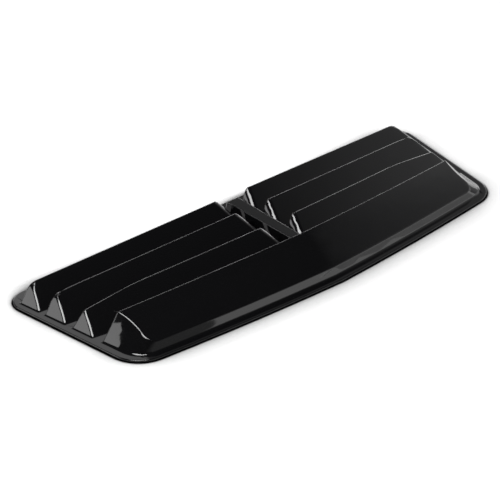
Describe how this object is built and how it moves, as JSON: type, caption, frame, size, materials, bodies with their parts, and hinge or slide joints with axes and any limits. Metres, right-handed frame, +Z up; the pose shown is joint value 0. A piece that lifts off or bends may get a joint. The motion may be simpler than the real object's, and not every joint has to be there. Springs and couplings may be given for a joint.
{
  "type": "bonnet scoop",
  "caption": "Wide tapered bonnet scoop with a flat fixing flange, banks of rear-facing louvres either side of a low bridge, and a smooth cowl in front.",
  "frame": {"origin": "centre of the box's bottom, on the flange's underside", "axes": "+X across the car along the longest side, +Y to the rear where the louvres open, +Z up from the bonnet"},
  "size_m": [0.7, 0.248, 0.0419],
  "materials": {
    "gloss_black": "moulded gloss black plastic"
  },
  "bodies": {
    "root": {"scoop_panel": "gloss_black"}
  },
  "joints": []
}
